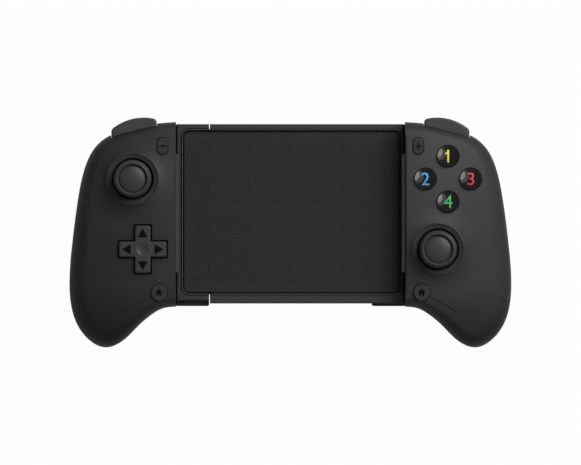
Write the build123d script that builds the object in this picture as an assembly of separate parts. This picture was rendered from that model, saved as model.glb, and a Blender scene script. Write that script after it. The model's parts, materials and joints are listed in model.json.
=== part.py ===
from build123d import *
import os
from math import acos, cos, hypot, pi, radians, sin, tan

# Mobile game controller that clamps a phone between two grips.
# It lies on its back: X runs to the right grip, Y to the shoulder buttons, Z out of the front.
# X is zero in the middle, Z is zero under the grips. Lengths are millimetres, angles degrees.

# Grips
controller_width = 202.4
grip_top_y = 50.4
grip_tip_y = -52.65
grip_depth = 30.5
clamp_opening = 102.8
clamp_pad_thickness = 1.3
clamp_pad_low_y = -18.4
clamp_pad_high_y = 35.7
clamp_pad_low_z = 19.8
clamp_pad_high_z = 27.6
slide_travel = 32.0
wall = 2.0
wall_edge = 0.7
parting_z = 14.0
parting_gap = 0.3
front_roll = 6.5
back_roll = 13.0
overrun = 12.0

# Clearances
seam_clearance = 0.1
fit_clearance = 0.05
button_clearance = 0.3
slide_clearance = 0.3
window_clearance = 0.4

# Bridge between the grips, with its tray in front and its cover behind
tray_low_y = -32.8
tray_high_y = 49.8
bracket_drop = 1.2
bracket_top_setback = 0.4
bracket_inner_x = 37.5
bracket_slot = 0.45
bridge_back_z = 7.5
cover_thickness = 1.6
rail_low_z = 11.3
rail_thickness = 2.4
tray_floor = 2.1
tray_wall = 2.2
tray_rim_z = 18.0
tray_edge_radius = 0.6
bracket_step_width = 1.4
bracket_edge_radius = 0.8
anchor_low_y = -24.0
anchor_high_y = 35.6
anchor_length = 9.5

# Phone mat
mat_left_x = -50.0
mat_right_x = 51.4
mat_low_y = -28.7
mat_high_y = 47.6
mat_corner_radius = 3.5
mat_plate_thickness = 0.8
mat_thickness = 1.2
mat_bead_width = 1.4
mat_bead_height = 0.4

# Rack, pinion and clock spring that keep the two grips in step
pinion_teeth = 18
tooth_module = 0.9
pressure_angle = 20.0
backlash = 0.24
rack_teeth = 13
rail_width = 10.0
rack_back_width = 12.0
rail_end_x = 35.2
pinion_pin_radius = 1.5
pinion_hub_radius = 3.2
spring_strip = 0.5
spring_turns = 5
spring_outer_radius = 12.5
spring_inner_gap = 0.5
rib_width = 2.0

# Screws
screw_radius = 1.0
screw_head_radius = 1.9
screw_head_height = 1.4
boss_radius = 3.0
bridge_screw_x = (16.0, 31.0)
front_boss_radius = 2.3
grip_screw_places = ((57.8, 6.5), (57.8, 31.8), (89.5, 9.0), (84.0, -37.0))
screw_tip_z = 25.0
screw_seat_z = 4.0

# Places of the controls on a grip, measured outward from the middle
upper_control_x = 72.4
upper_control_y = 24.5
lower_control_x = 67.8
lower_control_y = -7.8
menu_x = 58.75
menu_y = 39.6
function_x = 60.3
function_y = -27.65
light_x = 60.3
light_y = -22.1

# Circuit boards and what lies on them
board_thickness = 1.6
board_top_z = 17.6
board_inset = 4.2
board_low_y = -41.0
board_notch_x = 61.0
board_notch_y = 34.4
membrane_thickness = 0.6
membrane_top_z = 20.9
membrane_dome_radius = 2.6
membrane_tip_radius = 1.5
membrane_margin = 1.2
plunger_radius = 1.6

# Thumb sticks
stick_cap_radius = 9.0
stick_cap_top_z = 38.5
stick_cap_low_z = 35.2
stick_rim_radius = 7.7
stick_dish_radius = 6.4
stick_dish_depth = 1.5
stick_groove_depth = 1.0
stick_neck_radius = 3.6
stick_dome_radius = 10.2
stick_dome_wall = 1.0
stick_dome_angle = 80.0
stick_shaft_radius = 1.9
stick_shaft_top_z = 33.0
stick_click = 0.5
stick_ring_radius = 12.15
stick_ring_height = 0.8
stick_ring_low_z = 26.6
stick_opening_radius = 9.5
stick_well_radius = 11.2

# Gimbals under the sticks and the direction pad
gimbal_pivot_z = 22.0
gimbal_half = 5.2
gimbal_bar = 1.6
gimbal_height = 2.2
gimbal_pin_radius = 0.8
gimbal_block_half = 2.8
cradle_half = 6.2
cradle_floor = 1.0
cradle_lug_thickness = 0.8
cradle_lug_half = 1.6

# Direction pad
pad_span = 21.7
pad_arm_width = 7.1
pad_gap = 0.75
pad_top_z = 32.8
pad_edge_radius = 0.8
pad_corner_radius = 1.0
pad_flange_radius = 12.4
pad_flange_low_z = 26.2
pad_flange_thickness = 1.0
pad_dimple_radius = 2.85
pad_dimple_depth = 0.5
pad_arrow_base = 4.0
pad_arrow_length = 3.7
pad_arrow_base_reach = 5.6
pad_arrow_depth = 0.2
pad_plunger_reach = 9.6

# Face buttons
face_button_radius = 5.0
face_button_reach = 10.45
face_button_top_z = 32.8
face_button_edge_z = 31.6

# Small buttons
menu_width = 4.75
menu_length = 7.8
function_radius = 3.8
function_flange_cut = 1.2
small_button_top_z = 31.1
small_button_edge_radius = 0.4
button_flange_margin = 0.6
button_flange_thickness = 1.0
face_button_travel = 1.2
small_button_travel = 0.5
light_radius = 0.4
light_stem_radius = 0.7

# Shoulder button and trigger: a bowed front edge between two rounded corners
shoulder_inner_x = 61.7
shoulder_outer_x = 82.3
shoulder_inner_y = 52.0
shoulder_outer_y = 47.2
shoulder_bow = 2.6
shoulder_crest_y = 52.7
shoulder_inner_radius = 1.6
shoulder_outer_radius = 2.4
shoulder_back_y = 41.6
bumper_low_z = 20.0
bumper_high_z = 26.6
bumper_edge_radius = 0.8
bumper_pin_x = 64.0
bumper_pin_y = 44.4
bumper_pin_radius = 1.0
trigger_top_z = 19.2
trigger_low_z = 4.2
trigger_hub_radius = 2.6
trigger_axle_radius = 1.0
trigger_axle_y = 38.6
trigger_axle_z = 13.9
trigger_lip = 5.4
trigger_hook_depth = 1.2
window_back_y = 41.0
bearing_thickness = 1.4
bearing_half = 1.8

# Battery in the left grip and charging socket in the right grip
battery_width = 22.0
battery_length = 36.0
battery_height = 7.6
battery_x = 73.2
battery_y = -3.5
battery_edge_radius = 1.0
socket_x = 59.7
socket_width = 9.0
socket_height = 3.2
socket_depth = 7.4
socket_wall = 0.35
socket_tongue = 0.7
socket_tongue_width = 6.4
socket_setback = 0.4

# What follows from the sizes above
wall_x = clamp_opening / 2 + clamp_pad_thickness
grip_reach = controller_width / 2 - wall_x
grip_height = grip_top_y - grip_tip_y
tray_middle_y = (tray_low_y + tray_high_y) / 2
bracket_low_y = tray_low_y - bracket_drop
bracket_high_y = tray_high_y - bracket_top_setback
rail_high_z = rail_low_z + rail_thickness
tray_under_z = rail_high_z + slide_clearance
tray_floor_z = tray_under_z + tray_floor
cover_top_z = bridge_back_z + cover_thickness
bridge_seat_z = bridge_back_z + screw_head_height + seam_clearance
bridge_boss_z = bridge_seat_z + cover_thickness
mat_base_z = tray_floor_z + mat_plate_thickness
mat_top_z = mat_base_z + mat_thickness
housing_half = bracket_inner_x - bracket_slot
pitch_radius = pinion_teeth * tooth_module / 2
rack_pitch = pi * tooth_module
dedendum = 1.25 * tooth_module
board_low_z = board_top_z - board_thickness
shell_under_z = grip_depth - wall
pinion_angle = slide_travel / pitch_radius

# Grip outline from the inner top corner round the outer side and the tip to the inner lower corner:
# each line gives the place across and up the grip, then how far the front and the back roll in there.
grip_outline_shares = (
    (-0.30, 1.000, 1.00, 1.00),
    (0.000, 1.000, 1.00, 1.00),
    (0.204, 0.992, 1.00, 1.00),
    (0.447, 0.966, 1.10, 1.00),
    (0.640, 0.936, 1.20, 1.00),
    (0.775, 0.879, 1.30, 1.00),
    (0.862, 0.790, 1.40, 1.00),
    (0.922, 0.656, 1.50, 1.00),
    (0.971, 0.477, 1.75, 1.00),
    (1.000, 0.299, 1.85, 0.98),
    (0.979, 0.170, 1.80, 0.92),
    (0.876, 0.062, 1.70, 0.84),
    (0.650, 0.000, 1.60, 0.82),
    (0.480, 0.040, 1.50, 0.84),
    (0.369, 0.093, 1.35, 0.90),
    (0.235, 0.146, 1.15, 0.95),
    (0.110, 0.176, 1.00, 1.00),
    (0.000, 0.181, 1.00, 1.00),
    (-0.30, 0.181, 1.00, 1.00),
)
roll_steps = (90, 60, 30, 0)


def block(low_x, high_x, low_y, high_y, low_z, high_z):
    """A box between two corners."""
    middle = Pos((low_x + high_x) / 2, (low_y + high_y) / 2, (low_z + high_z) / 2)
    return middle * Box(high_x - low_x, high_y - low_y, high_z - low_z)


def post(x, y, radius, low_z, high_z):
    """A round post along Z."""
    return Pos(x, y, (low_z + high_z) / 2) * Cylinder(radius, high_z - low_z)


def bar(x, y, z, radius, length, axis):
    """A round bar along X or Y, centred on a place."""
    turn = Rot(0, 90, 0) if axis == "X" else Rot(90, 0, 0)
    return Pos(x, y, z) * turn * Cylinder(radius, length)


def prism(face, low_z, high_z):
    """A flat outline drawn at zero height, raised between two heights."""
    return Pos(0, 0, low_z) * extrude(face, high_z - low_z)


def turned(points):
    """A solid of revolution about Z from the corners (radius, height) of its half section."""
    outline = Polyline([(radius, 0, height) for radius, height in points], close=True)
    return revolve(make_face(outline), Axis.Z)


def edges_at(solid, height, tolerance=1e-3):
    """The edges of a solid that lie flat at one height."""
    flat = []
    for edge in solid.edges():
        box = edge.bounding_box()
        if abs(box.min.Z - height) < tolerance and abs(box.max.Z - height) < tolerance:
            flat.append(edge)
    return flat


def pieces(shapes):
    """Several separate solids as one group."""
    return Compound(children=[solid for shape in shapes for solid in shape.solids()])


# Grip shells


def grip_ring(height, shrink, roll, roll_column, angle):
    """The grip's outline at one height, drawn in where the form rolls over."""
    places = [
        (wall_x + across * grip_reach, grip_tip_y + up * grip_height) for across, up, _, _ in grip_outline_shares
    ]
    drawn_in = []
    last = len(places) - 1
    for index, (x, y) in enumerate(places):
        before = places[max(index - 1, 0)]
        after = places[min(index + 1, last)]
        run_x, run_y = after[0] - before[0], after[1] - before[1]
        run = hypot(run_x, run_y)
        local_roll = roll * grip_outline_shares[index][roll_column]
        inset = local_roll * (1 - cos(radians(angle))) + shrink * cos(radians(angle))
        drawn_in.append((x + inset * run_y / run, y - inset * run_x / run))
    edge = Spline(drawn_in, tangents=[(1, 0), (-1, 0)])
    return Pos(0, 0, height) * make_face([edge, Line(drawn_in[-1], drawn_in[0])])


def outboard_of_wall(shrink):
    """All that lies outward of the grip's flat wall, whose long edges are cut off."""
    near, far, reach = wall_x + shrink, wall_x + controller_width, controller_width / 2
    low, high = shrink + wall_edge, grip_depth - shrink - wall_edge
    corners = [(near, low), (near, high), (near + reach, high + reach), (far, high + reach)]
    corners += [(far, low - reach), (near + reach, low - reach)]
    side = Plane.XZ * make_face(Polyline(corners, close=True))
    return extrude(side, controller_width, both=True)


def grip_form(shrink):
    """The rounded body of a grip, made smaller all round by one amount."""
    rings = []
    for angle in roll_steps:
        height = back_roll - (back_roll - shrink) * sin(radians(angle))
        rings.append(grip_ring(height, shrink, back_roll, 3, angle))
    for angle in reversed(roll_steps):
        height = grip_depth - front_roll + (front_roll - shrink) * sin(radians(angle))
        rings.append(grip_ring(height, shrink, front_roll, 2, angle))
    return loft(rings) & outboard_of_wall(shrink)


def shoulder_outline(back_y):
    """The shoulder button seen along Z, from its bowed edge back to one line."""
    inner, outer = (shoulder_inner_x, shoulder_inner_y), (shoulder_outer_x, shoulder_outer_y)
    inner_back, outer_back = (shoulder_inner_x, back_y), (shoulder_outer_x, back_y)
    bow = SagittaArc(inner, outer, shoulder_bow)
    face = make_face([bow, Line(outer, outer_back), Line(outer_back, inner_back), Line(inner_back, inner)])
    highest = face.vertices().filter_by(is_inner_corner)
    face = fillet(highest, shoulder_inner_radius)
    return fillet(face.vertices().filter_by(is_outer_corner), shoulder_outer_radius)


def is_inner_corner(vertex):
    """Whether a corner of the shoulder outline is the inner one at its front."""
    return abs(vertex.X - shoulder_inner_x) < fit_clearance and vertex.Y > shoulder_outer_y


def is_outer_corner(vertex):
    """Whether a corner of the shoulder outline is the outer one."""
    return abs(vertex.X - shoulder_outer_x) < fit_clearance and vertex.Y > shoulder_outer_y - shoulder_bow


def shoulder_window():
    """The opening in both shells for the shoulder button and the trigger."""
    low_x = shoulder_inner_x - window_clearance
    high_x = shoulder_outer_x + window_clearance
    top = bumper_high_z + window_clearance
    beyond = shoulder_crest_y + overrun
    return block(low_x, high_x, window_back_y, beyond, -overrun, top)


def capsule(width, length):
    """A round-ended slot along Y."""
    return Rot(0, 0, 90) * SlotOverall(length, width)


def pad_cross(span, arm_width):
    """The cross of the direction pad."""
    return Rectangle(span, arm_width) + Rectangle(arm_width, span)


def face_button_places():
    """The four face buttons round the upper control's middle: top, left, right, bottom."""
    steps = ((0, 1), (-1, 0), (1, 0), (0, -1))
    return [(upper_control_x + face_button_reach * x, upper_control_y + face_button_reach * y) for x, y in steps]


def shell_openings(name):
    """What is cut through a grip's front face."""
    low, high = parting_z, grip_depth + overrun
    gap = button_clearance
    cuts = [
        prism(Pos(menu_x, menu_y) * capsule(menu_width + 2 * gap, menu_length + 2 * gap), low, high),
        post(function_x, function_y, function_radius + gap, low, high),
        post(light_x, light_y, light_radius + fit_clearance, low, high),
    ]
    ring_hole = stick_well_radius + seam_clearance
    if name == "left":
        cross = pad_cross(pad_span + 2 * pad_gap, pad_arm_width + 2 * pad_gap)
        cuts.append(prism(Pos(lower_control_x, lower_control_y) * cross, low, high))
        cuts.append(post(upper_control_x, upper_control_y, ring_hole, low, high))
    else:
        cuts.append(post(lower_control_x, lower_control_y, ring_hole, low, high))
        for x, y in face_button_places():
            cuts.append(post(x, y, face_button_radius + gap, low, high))
    return cuts


def socket_tunnel(margin, low_y, high_y):
    """The round-ended tunnel of the charging socket."""
    face = SlotOverall(socket_width + 2 * margin, socket_height + 2 * margin)
    tunnel = extrude(Plane.XZ * face, high_y - low_y)
    return Pos(socket_x, high_y, board_low_z - socket_height / 2) * tunnel


def bearing_post(low_x):
    """One bearing of the trigger axle, standing on the rear shell's floor."""
    high_x = low_x + bearing_thickness
    low_y, high_y = trigger_axle_y - bearing_half, trigger_axle_y + bearing_half
    return block(low_x, high_x, low_y, high_y, wall, trigger_axle_z + bearing_half)


def bearing_places():
    """Where the two bearings begin, just outside the ends of the trigger."""
    inner = shoulder_inner_x - window_clearance - bearing_thickness
    return inner, shoulder_outer_x + window_clearance


def grip_shells(name):
    """The front and rear shell of one grip."""
    outer = grip_form(0)
    body = outer - grip_form(wall)
    far = controller_width
    front = body & block(0, far, -far, far, parting_z + parting_gap, far)
    rear = body & block(0, far, -far, far, -far, parting_z)

    for x, y in grip_screw_places:
        front += post(x, y, front_boss_radius, board_top_z, shell_under_z) & outer
        rear += post(x, y, boss_radius, wall, board_low_z) & outer
    for low_x in bearing_places():
        rear += bearing_post(low_x) & outer
    front -= shoulder_window()
    rear -= shoulder_window()
    front += post(bumper_pin_x, bumper_pin_y, bumper_pin_radius, bumper_low_z, shell_under_z)
    for cut in shell_openings(name):
        front -= cut
    axle_length = shoulder_outer_x - shoulder_inner_x + overrun
    axle_middle = (shoulder_inner_x + shoulder_outer_x) / 2
    axle_radius = trigger_axle_radius + fit_clearance
    rear -= bar(axle_middle, trigger_axle_y, trigger_axle_z, axle_radius, axle_length, "X")
    for x, y in grip_screw_places:
        front -= post(x, y, screw_radius, board_top_z, screw_tip_z)
        rear -= post(x, y, screw_radius + seam_clearance, screw_seat_z, board_top_z)
        rear -= post(x, y, screw_head_radius + seam_clearance, -overrun, screw_seat_z)
    low_y, high_y = anchor_low_y - slide_clearance, anchor_high_y + slide_clearance
    rear -= block(0, wall_x + wall, low_y, high_y, bridge_back_z - slide_clearance, parting_z)
    if name == "right":
        hole = socket_tunnel(slide_clearance, grip_tip_y, bracket_low_y + 2 * wall)
        front -= hole
        rear -= hole
    return front, rear


# Bridge: tray, mat, cover and the parts that slide in it


def mat_outline(margin):
    """The mat seen from the front, grown by a margin."""
    width = mat_right_x - mat_left_x + 2 * margin
    height = mat_high_y - mat_low_y + 2 * margin
    middle = Pos((mat_left_x + mat_right_x) / 2, (mat_low_y + mat_high_y) / 2)
    return middle * RectangleRounded(width, height, mat_corner_radius + margin)


def rail_places():
    """Places across the bridge: rack back, first rib, guide rail and second rib, each as (low, high)."""
    rack_back = pitch_radius + dedendum + rack_back_width
    spans = [(pitch_radius + dedendum, rack_back)]
    for width in (rib_width, rail_width, rib_width):
        start = spans[-1][1] + slide_clearance
        spans.append((start, start + width))
    return spans


def rack_teeth_face():
    """Rack teeth along X that point to +Y, with the pitch line at zero height."""
    slope = tan(radians(pressure_angle))
    half = (rack_pitch - 2 * backlash) / 4
    tip, root = half - tooth_module * slope, half + dedendum * slope
    corners = [(-root, -dedendum), (-tip, tooth_module), (tip, tooth_module), (root, -dedendum)]
    tooth = make_face(Polyline(corners, close=True))
    places = [((index + 0.5) * rack_pitch, 0) for index in range(rack_teeth)]
    return Sketch(children=[Pos(*place) * tooth for place in places])


def right_tongues():
    """Rack and plain guide rail of the right slider, from its bracket back under the tray."""
    rack, _, rail, _ = rail_places()
    joined_x = bracket_inner_x + tray_wall
    middle = tray_middle_y
    back = block(-rail_end_x, joined_x, middle - rack[1], middle - rack[0], rail_low_z, rail_high_z)
    teeth = prism(Pos(0, middle - pitch_radius) * mirror(rack_teeth_face(), Plane.YZ), rail_low_z, rail_high_z)
    guide = block(-rail_end_x, joined_x, middle + rail[0], middle + rail[1], rail_low_z, rail_high_z)
    return back + teeth + guide


def slider(name):
    """Bracket, anchor inside the grip, rack and guide rail of one side, as one moulding."""
    outer_x = wall_x - slide_clearance
    plate = block(bracket_inner_x, outer_x, bracket_low_y, bracket_high_y, bridge_back_z, rail_high_z)
    plate = fillet(plate.faces().sort_by(Axis.X)[0].edges().filter_by(Axis.Z), bracket_edge_radius)
    anchor_end = wall_x + anchor_length
    plate += block(outer_x - wall, anchor_end, anchor_low_y, anchor_high_y, bridge_back_z, rail_high_z)
    for x, y in grip_screw_places:
        plate -= post(x, y, boss_radius + slide_clearance, 0, parting_z)
    if name == "right":
        return plate + right_tongues()
    rim_low_y = tray_low_y + bracket_step_width
    rim = block(-outer_x, -bracket_inner_x, rim_low_y, tray_high_y, rail_high_z, tray_rim_z)
    rim = fillet(edges_at(rim, tray_rim_z), tray_edge_radius)
    rim -= prism(mat_outline(slide_clearance), tray_floor_z - slide_clearance, tray_rim_z + overrun)
    turned_tongues = Pos(0, tray_middle_y) * Rot(0, 0, 180) * Pos(0, -tray_middle_y) * right_tongues()
    return mirror(plate, Plane.YZ) + rim + turned_tongues


def bridge_plate():
    """Front of the bridge: tray with its rims, side walls, screw bosses and the pinion's pin."""
    right_x = wall_x - window_clearance
    plate = block(-housing_half, right_x, tray_low_y, tray_high_y, tray_under_z, tray_rim_z)
    plate = fillet(edges_at(plate, tray_rim_z), tray_edge_radius)
    plate -= prism(mat_outline(seam_clearance), tray_floor_z, tray_rim_z + overrun)
    skirt_z = bridge_back_z + seam_clearance
    plate += block(-housing_half, housing_half, tray_low_y, tray_low_y + tray_wall, skirt_z, tray_under_z)
    plate += block(-housing_half, housing_half, tray_high_y - tray_wall, tray_high_y, skirt_z, tray_under_z)
    for sign in (-1, 1):
        for x in bridge_screw_x:
            plate += post(sign * x, tray_middle_y, boss_radius, bridge_boss_z, tray_under_z)
            plate -= post(sign * x, tray_middle_y, screw_radius, bridge_boss_z, tray_floor_z - screw_radius)
    plate += post(0, tray_middle_y, pinion_pin_radius, cover_top_z, tray_under_z)
    return plate


def bridge_back_cover():
    """Cover behind the tray, with the ribs that guide the rails and the strips that carry them."""
    margin = tray_wall + seam_clearance
    low_y, high_y = tray_low_y + margin, tray_high_y - margin
    cover = block(-housing_half, housing_half, low_y, high_y, bridge_back_z, cover_top_z)
    rack, first_rib, rail, second_rib = rail_places()
    strip_top_z = rail_low_z - slide_clearance
    for sign in (-1, 1):
        for low, high in (first_rib, second_rib):
            near, far = sorted((tray_middle_y + sign * low, tray_middle_y + sign * high))
            cover += block(-housing_half, housing_half, near, far, cover_top_z, rail_high_z)
        for low, high in (rack, rail):
            strip = tray_middle_y + sign * (low + high) / 2
            half = rib_width / 2
            cover += block(-housing_half, housing_half, strip - half, strip + half, cover_top_z, strip_top_z)
        for x in bridge_screw_x:
            cover += post(sign * x, tray_middle_y, boss_radius, cover_top_z, bridge_boss_z)
            cover -= post(sign * x, tray_middle_y, screw_radius + seam_clearance, 0, overrun)
            cover -= post(sign * x, tray_middle_y, screw_head_radius + seam_clearance, 0, bridge_seat_z)
    return cover


def involute(angle):
    """How far an involute has turned where its flank leans at one angle."""
    return tan(angle) - angle


def pinion():
    """Pinion with involute teeth, on the bridge's pin, with the hub that winds the clock spring."""
    base = pitch_radius * cos(radians(pressure_angle))
    tip, root = pitch_radius + tooth_module, pitch_radius - dedendum
    tooth_half = (rack_pitch / 2 - backlash / 2) / 2 / pitch_radius

    def flank_place(radius, side):
        turn = tooth_half + involute(radians(pressure_angle)) - involute(acos(min(1.0, base / radius)))
        return radius * cos(turn), side * radius * sin(turn)

    radii = (base, pitch_radius, tip)
    left = [flank_place(radius, 1) for radius in radii]
    right = [flank_place(radius, -1) for radius in reversed(radii)]
    inner = root - tooth_module
    foot_left = (inner, left[0][1])
    foot_right = (inner, right[-1][1])
    tooth = make_face(
        [
            Line(foot_left, left[0]),
            Spline(left),
            Line(left[-1], right[0]),
            Spline(right),
            Line(right[-1], foot_right),
            Line(foot_right, foot_left),
        ]
    )
    step = 360 / pinion_teeth
    profile = Circle(root) + [Rot(0, 0, 90 + index * step) * tooth for index in range(pinion_teeth)]
    profile -= Circle(pinion_pin_radius + fit_clearance)
    hub = Circle(pinion_hub_radius) - Circle(pinion_pin_radius + fit_clearance)
    wheel = prism(profile, rail_low_z, rail_high_z)
    wheel += prism(hub, cover_top_z + slide_clearance, rail_low_z)
    return Pos(0, tray_middle_y) * wheel


def clock_spring():
    """Flat strip wound round the pinion's hub, which draws the two grips together."""
    inner_radius = pinion_hub_radius + spring_inner_gap
    growth = (spring_outer_radius - spring_strip - inner_radius) / (spring_turns * 360)

    def spiral(start):
        places = []
        for turn in range(0, spring_turns * 360 + 1, 45):
            radius = start + growth * turn
            places.append((radius * cos(radians(turn)), radius * sin(radians(turn))))
        return places

    inside, outside = spiral(inner_radius), spiral(inner_radius + spring_strip)
    outline = [Spline(inside), Line(inside[-1], outside[-1]), Spline(outside), Line(outside[0], inside[0])]
    strip = prism(make_face(outline), cover_top_z + seam_clearance, rail_low_z - slide_clearance)
    return Pos(0, tray_middle_y) * strip


def phone_mat():
    """Rubber mat with a raised bead round its edge."""
    mat = prism(mat_outline(0), mat_base_z, mat_top_z + mat_bead_height)
    mat = fillet(edges_at(mat, mat_top_z + mat_bead_height), mat_bead_height)
    return mat - prism(mat_outline(-mat_bead_width), mat_top_z, mat_top_z + overrun)


# Screws


def screw(x, y, seat_z, tip_z):
    """A round-headed screw with its head below the seat and its shank up to the tip."""
    head = post(x, y, screw_head_radius, seat_z - screw_head_height, seat_z)
    return head + post(x, y, screw_radius, seat_z, tip_z)


# Controls


def cradle(x, y):
    """Frame on the board with two lugs that carry a gimbal's pins."""
    low = board_top_z
    body = block(-cradle_half, cradle_half, -cradle_half, cradle_half, low, low + cradle_floor)
    lug_top = gimbal_pivot_z + cradle_lug_half
    for sign in (-1, 1):
        near, far = sorted((sign * (cradle_half - cradle_lug_thickness), sign * cradle_half))
        body += block(near, far, -cradle_lug_half, cradle_lug_half, low, lug_top)
    body -= bar(0, 0, gimbal_pivot_z, gimbal_pin_radius + fit_clearance, 2 * cradle_half + overrun, "X")
    return Pos(x, y) * body


def gimbal_ring(x, y):
    """Square ring with pins along X and holes along Y."""
    half, inside, high = gimbal_half, gimbal_half - gimbal_bar, gimbal_height / 2
    ring = block(-half, half, -half, half, -high, high) - block(-inside, inside, -inside, inside, -half, half)
    pin_length = cradle_half - inside
    for sign in (-1, 1):
        ring += bar(sign * (cradle_half + inside) / 2, 0, 0, gimbal_pin_radius, pin_length, "X")
    ring -= bar(0, 0, 0, gimbal_pin_radius + fit_clearance, 2 * half + overrun, "Y")
    for sign in (-1, 1):
        ring += block(*sorted((sign * half, sign * inside)), -gimbal_pin_radius, gimbal_pin_radius, -high, high)
    return Pos(x, y, gimbal_pivot_z) * ring


def gimbal_block():
    """Block that tilts in the gimbal's ring, with its pins along Y, at zero height."""
    half, high = gimbal_block_half, gimbal_height / 2
    return block(-half, half, -half, half, -high, high) + bar(0, 0, 0, gimbal_pin_radius, 2 * gimbal_half, "Y")


def stick_rocker(x, y):
    """Gimbal block with the shaft that carries the stick's cap."""
    shaft = post(0, 0, stick_shaft_radius, 0, stick_shaft_top_z - gimbal_pivot_z)
    return Pos(x, y, gimbal_pivot_z) * (gimbal_block() + shaft)


def stick_cap(x, y):
    """Thumb cap with a dished top, its neck and the dome that closes the well."""
    dish_z = stick_cap_top_z - stick_dish_depth
    groove_z = stick_cap_top_z - stick_groove_depth
    side_z = (stick_cap_low_z + stick_cap_top_z) / 2
    centre = (0, 0, dish_z)
    groove = (stick_dish_radius, 0, groove_z)
    dish_middle = (stick_dish_radius / 2, 0, dish_z + (groove_z - dish_z) / 4)
    rim_inner = (stick_dish_radius, 0, stick_cap_top_z - stick_groove_depth / 4)
    rim_top = ((stick_dish_radius + stick_rim_radius) / 2, 0, stick_cap_top_z)
    rim = (stick_rim_radius, 0, stick_cap_top_z - stick_groove_depth / 4)
    edge_high = (stick_cap_radius, 0, side_z)
    edge_low = (stick_cap_radius, 0, stick_cap_low_z + stick_dome_wall / 2)
    under_outer = (stick_cap_radius - stick_dome_wall / 2, 0, stick_cap_low_z)
    axis_low = (0, 0, stick_cap_low_z)
    half_section = make_face(
        [
            ThreePointArc(centre, dish_middle, groove),
            Line(groove, rim_inner),
            ThreePointArc(rim_inner, rim_top, rim),
            Line(rim, edge_high),
            Line(edge_high, edge_low),
            Line(edge_low, under_outer),
            Line(under_outer, axis_low),
            Line(axis_low, centre),
        ]
    )
    head = revolve(half_section, Axis.Z)
    neck_low_z = gimbal_pivot_z + gimbal_half
    neck = post(0, 0, stick_neck_radius, neck_low_z, stick_cap_low_z)
    inner_radius = stick_dome_radius - stick_dome_wall
    dome = Pos(0, 0, gimbal_pivot_z) * (Sphere(stick_dome_radius) - Sphere(inner_radius))
    dome_low_z = gimbal_pivot_z + stick_dome_radius * cos(radians(stick_dome_angle))
    reach = 2 * stick_dome_radius
    dome &= block(-reach, reach, -reach, reach, dome_low_z, gimbal_pivot_z + reach)
    bore_top = stick_shaft_top_z + stick_click + slide_clearance
    cap = head + neck + dome - post(0, 0, stick_shaft_radius + fit_clearance, gimbal_pivot_z, bore_top)
    return Pos(x, y) * cap


def stick_ring(x, y):
    """Raised ring round the stick's well: a thin lip outside a flat band."""
    top_z = grip_depth + stick_ring_height
    lip = stick_ring_height / 2
    ring = turned(
        [
            (stick_opening_radius, stick_ring_low_z),
            (stick_well_radius, stick_ring_low_z),
            (stick_well_radius, grip_depth),
            (stick_ring_radius, grip_depth),
            (stick_ring_radius, top_z - lip),
            (stick_ring_radius - lip, top_z),
            (stick_well_radius - lip, top_z - lip),
            (stick_opening_radius + lip, top_z - lip),
            (stick_opening_radius, top_z - 2 * lip),
        ]
    )
    return Pos(x, y) * ring


def direction_pad():
    """Cross with a dimple and four arrows, on its flange, plungers and gimbal block."""
    cross = pad_cross(pad_span, pad_arm_width)
    outer_corners = [corner for corner in cross.vertices() if hypot(corner.X, corner.Y) > pad_arm_width]
    cross = fillet(outer_corners, pad_corner_radius)
    flange_top = pad_flange_low_z + pad_flange_thickness
    pad = prism(cross, pad_flange_low_z, pad_top_z)
    pad = fillet(edges_at(pad, pad_top_z), pad_edge_radius)
    dimple_radius = (pad_dimple_radius**2 + pad_dimple_depth**2) / (2 * pad_dimple_depth)
    pad -= Pos(0, 0, pad_top_z + dimple_radius - pad_dimple_depth) * Sphere(dimple_radius)
    for turn in range(4):
        base, tip = pad_arrow_base_reach, pad_arrow_base_reach + pad_arrow_length
        half = pad_arrow_base / 2
        arrow = make_face(Polyline([(base, -half), (tip, 0), (base, half)], close=True))
        pad -= prism(Rot(0, 0, 90 * turn) * arrow, pad_top_z - pad_arrow_depth, pad_top_z + overrun)
    pad += post(0, 0, pad_flange_radius, pad_flange_low_z, flange_top)
    plunger_low_z = membrane_top_z + small_button_travel + 2 * button_clearance
    for turn in range(4):
        angle = radians(90 * turn)
        x, y = pad_plunger_reach * cos(angle), pad_plunger_reach * sin(angle)
        pad += post(x, y, plunger_radius, plunger_low_z, pad_flange_low_z)
    pad += post(0, 0, stick_shaft_radius, gimbal_pivot_z, pad_flange_low_z)
    pad += Pos(0, 0, gimbal_pivot_z) * gimbal_block()
    return Pos(lower_control_x, lower_control_y) * pad


def button_base(flange, flange_top, travel):
    """Flange and plunger under a push button."""
    plunger_low_z = membrane_top_z + travel + button_clearance
    base = prism(flange, flange_top - button_flange_thickness, flange_top)
    return base + post(0, 0, plunger_radius, plunger_low_z, flange_top)


def face_button(x, y):
    """Round domed button."""
    flange_top = shell_under_z - 2 * button_clearance
    low_z = flange_top - button_flange_thickness
    rise = face_button_top_z - face_button_edge_z
    crown = (0, 0, face_button_top_z)
    shoulder = (face_button_radius / 2, 0, face_button_top_z - rise / 4)
    rim = (face_button_radius - small_button_edge_radius, 0, face_button_edge_z)
    edge = (face_button_radius, 0, face_button_edge_z - small_button_edge_radius)
    foot, middle = (face_button_radius, 0, low_z), (0, 0, low_z)
    outline = [ThreePointArc(crown, shoulder, rim), Line(rim, edge), Line(edge, foot)]
    outline += [Line(foot, middle), Line(middle, crown)]
    cap = revolve(make_face(outline), Axis.Z)
    flange = Circle(face_button_radius + button_flange_margin)
    return Pos(x, y) * (cap + button_base(flange, flange_top, face_button_travel))


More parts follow.
